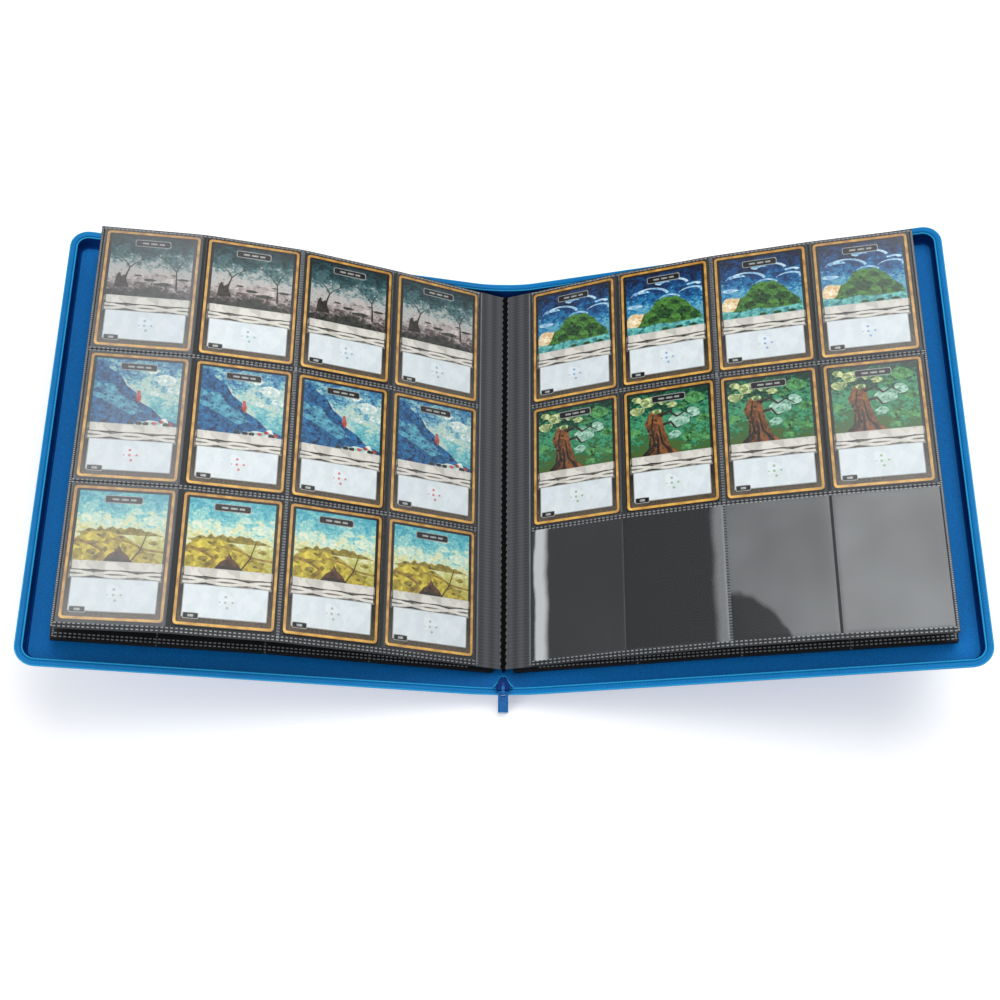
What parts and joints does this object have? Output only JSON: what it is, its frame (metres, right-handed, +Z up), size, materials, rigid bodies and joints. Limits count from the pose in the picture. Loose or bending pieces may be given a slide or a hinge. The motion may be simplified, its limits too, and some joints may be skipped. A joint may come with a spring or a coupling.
{
  "type": "trading card binder",
  "caption": "Zip-up trading card binder lying open in a shallow V, with pocket pages of cards bound at the spine, hinged padded covers and a zipper round the edge.",
  "frame": {"origin": "centre of the flat underside of the spine, which is what the open binder lies on", "axes": "+Z up, +X to the reader's right across both covers, +Y towards the upper edge of the pages"},
  "size_m": [0.5999, 0.3184, 0.1086],
  "materials": {
    "cover_skin": "grained blue leatherette, satin",
    "cover_board": "bare greyboard, hidden inside the cover",
    "cover_lining": "smooth blue leatherette, matt",
    "gusset_fabric": "woven dark blue fabric",
    "zipper_chain": "light blue woven tape with coil teeth, satin",
    "page_sheet": "charcoal polypropylene sheet, matt",
    "pocket_film": "clear thin film, glossy",
    "card_stock": "coated card, satin",
    "binding_thread": "black binding with zigzag stitching",
    "slider_body": "dark blue enamel, satin",
    "pull_tab": "blue enamel, satin"
  },
  "bodies": {
    "spine": {"spine_skin": "cover_skin", "spine_board": "cover_board", "spine_lining": "cover_lining", "spine_gusset_front": "gusset_fabric", "spine_gusset_back": "gusset_fabric", "page_binding": "binding_thread"},
    "left_cover": {"left_cover_skin": "cover_skin", "left_cover_board": "cover_board", "left_cover_lining": "cover_lining", "left_gusset_wall": "gusset_fabric", "left_zipper_chain": "zipper_chain"},
    "right_cover": {"right_cover_skin": "cover_skin", "right_cover_board": "cover_board", "right_cover_lining": "cover_lining", "right_gusset_wall": "gusset_fabric", "right_zipper_chain": "zipper_chain"},
    "left_leaf_1": {"left_leaf_panel_1": "page_sheet", "left_pocket_film_1": "pocket_film", "left_card_r1_c1": "card_stock", "left_card_r2_c1": "card_stock", "left_card_r3_c1": "card_stock"},
    "left_leaf_2": {"left_leaf_panel_2": "page_sheet", "left_pocket_film_2": "pocket_film", "left_card_r1_c2": "card_stock", "left_card_r2_c2": "card_stock", "left_card_r3_c2": "card_stock"},
    "left_leaf_3": {"left_leaf_panel_3": "page_sheet", "left_pocket_film_3": "pocket_film", "left_card_r1_c3": "card_stock", "left_card_r2_c3": "card_stock", "left_card_r3_c3": "card_stock"},
    "left_leaf_4": {"left_leaf_panel_4": "page_sheet", "left_pocket_film_4": "pocket_film", "left_card_r1_c4": "card_stock", "left_card_r2_c4": "card_stock", "left_card_r3_c4": "card_stock"},
    "left_lower_inner": {"left_lower_leaves_inner": "page_sheet"},
    "left_lower_outer": {"left_lower_leaves_outer": "page_sheet"},
    "right_leaf_stub": {"right_leaf_stub": "page_sheet"},
    "right_leaf_1": {"right_leaf_panel_1": "page_sheet", "right_pocket_film_1": "pocket_film", "right_card_r1_c1": "card_stock", "right_card_r2_c1": "card_stock"},
    "right_leaf_2": {"right_leaf_panel_2": "page_sheet", "right_pocket_film_2": "pocket_film", "right_card_r1_c2": "card_stock", "right_card_r2_c2": "card_stock"},
    "right_leaf_3": {"right_leaf_panel_3": "page_sheet", "right_pocket_film_3": "pocket_film", "right_card_r1_c3": "card_stock", "right_card_r2_c3": "card_stock"},
    "right_leaf_4": {"right_leaf_panel_4": "page_sheet", "right_pocket_film_4": "pocket_film", "right_card_r1_c4": "card_stock", "right_card_r2_c4": "card_stock"},
    "right_lower_inner": {"right_lower_leaves_inner": "page_sheet"},
    "right_lower_outer": {"right_lower_leaves_outer": "page_sheet"},
    "slider": {"zipper_slider": "slider_body"},
    "pull_tab": {"pull_tab": "pull_tab"}
  },
  "joints": [
    {"name": "left_cover_hinge", "type": "hinge", "parent": "spine", "child": "left_cover", "pos_m": [-0.015, 0, 0.0004], "axis": [0, 1, 0], "range_deg": [-14.1, 75.9]},
    {"name": "left_leaf_root", "type": "hinge", "parent": "spine", "child": "left_leaf_1", "pos_m": [-0.00933, 0, 0.0083], "axis": [0, 1, 0], "range_deg": [-12.4, 64.4]},
    {"name": "left_leaf_bend_1", "type": "hinge", "parent": "left_leaf_1", "child": "left_leaf_2", "pos_m": [-0.07848, 0, 0.04967], "axis": [0, 1, 0], "range_deg": [-1, 3.1]},
    {"name": "left_leaf_bend_2", "type": "hinge", "parent": "left_leaf_2", "child": "left_leaf_3", "pos_m": [-0.13993, 0, 0.07639], "axis": [0, 1, 0], "range_deg": [-1.9, 8]},
    {"name": "left_leaf_bend_3", "type": "hinge", "parent": "left_leaf_3", "child": "left_leaf_4", "pos_m": [-0.20433, 0, 0.09486], "axis": [0, 1, 0], "range_deg": [-1.9, 7.8]},
    {"name": "left_lower_root", "type": "hinge", "parent": "spine", "child": "left_lower_inner", "pos_m": [-0.007, 0, 0.0075], "axis": [0, 1, 0], "range_deg": [-14, 73]},
    {"name": "left_lower_bend", "type": "hinge", "parent": "left_lower_inner", "child": "left_lower_outer", "pos_m": [-0.15149, 0, 0.05306], "axis": [0, 1, 0], "range_deg": [-1.4, 5]},
    {"name": "right_cover_hinge", "type": "hinge", "parent": "spine", "child": "right_cover", "pos_m": [0.015, 0, 0.0004], "axis": [0, -1, 0], "range_deg": [-16.5, 73.5]},
    {"name": "right_leaf_root", "type": "hinge", "parent": "spine", "child": "right_leaf_stub", "pos_m": [0.00912, 0, 0.0083], "axis": [0, -1, 0], "range_deg": [-15.3, 66.1]},
    {"name": "right_leaf_turn", "type": "hinge", "parent": "right_leaf_stub", "child": "right_leaf_1", "pos_m": [0.00497, 0, 0.01357], "axis": [0, 1, 0], "range_deg": [-125, 0]},
    {"name": "right_leaf_bend_1", "type": "hinge", "parent": "right_leaf_1", "child": "right_leaf_2", "pos_m": [0.07955, 0, 0.04741], "axis": [0, -1, 0], "range_deg": [-1.4, 4.1]},
    {"name": "right_leaf_bend_2", "type": "hinge", "parent": "right_leaf_2", "child": "right_leaf_3", "pos_m": [0.14219, 0, 0.0712], "axis": [0, -1, 0], "range_deg": [-1.5, 4.7]},
    {"name": "right_leaf_bend_3", "type": "hinge", "parent": "right_leaf_3", "child": "right_leaf_4", "pos_m": [0.20639, 0, 0.09034], "axis": [0, -1, 0], "range_deg": [-1.1, 3]},
    {"name": "right_lower_root", "type": "hinge", "parent": "spine", "child": "right_lower_inner", "pos_m": [0.007, 0, 0.0075], "axis": [0, -1, 0], "range_deg": [-16.8, 72.9]},
    {"name": "right_lower_bend", "type": "hinge", "parent": "right_lower_inner", "child": "right_lower_outer", "pos_m": [0.15141, 0, 0.05331], "axis": [0, -1, 0], "range_deg": [-1, 2.4]},
    {"name": "slider_slide", "type": "slide", "parent": "spine", "child": "slider", "axis": [0, 0, 1], "range_m": [0, 0.004]},
    {"name": "pull_tab_hinge", "type": "hinge", "parent": "slider", "child": "pull_tab", "pos_m": [0, -0.1535, 0.0185], "axis": [1, 0, 0], "range_deg": [-195, 0]}
  ],
  "couplings": [
    {"joint": "left_leaf_root", "follows": "left_cover_hinge", "ratio": 0.8419},
    {"joint": "left_leaf_bend_1", "follows": "left_cover_hinge", "ratio": 0.03426},
    {"joint": "left_leaf_bend_2", "follows": "left_cover_hinge", "ratio": 0.09881},
    {"joint": "left_leaf_bend_3", "follows": "left_cover_hinge", "ratio": 0.09618},
    {"joint": "left_lower_root", "follows": "left_cover_hinge", "ratio": 0.9552},
    {"joint": "left_lower_bend", "follows": "left_cover_hinge", "ratio": 0.05929},
    {"joint": "right_leaf_root", "follows": "right_cover_hinge", "ratio": 0.89252},
    {"joint": "right_leaf_bend_1", "follows": "right_cover_hinge", "ratio": 0.04898},
    {"joint": "right_leaf_bend_2", "follows": "right_cover_hinge", "ratio": 0.05714},
    {"joint": "right_leaf_bend_3", "follows": "right_cover_hinge", "ratio": 0.03333},
    {"joint": "right_lower_root", "follows": "right_cover_hinge", "ratio": 0.98503},
    {"joint": "right_lower_bend", "follows": "right_cover_hinge", "ratio": 0.02585}
  ]
}
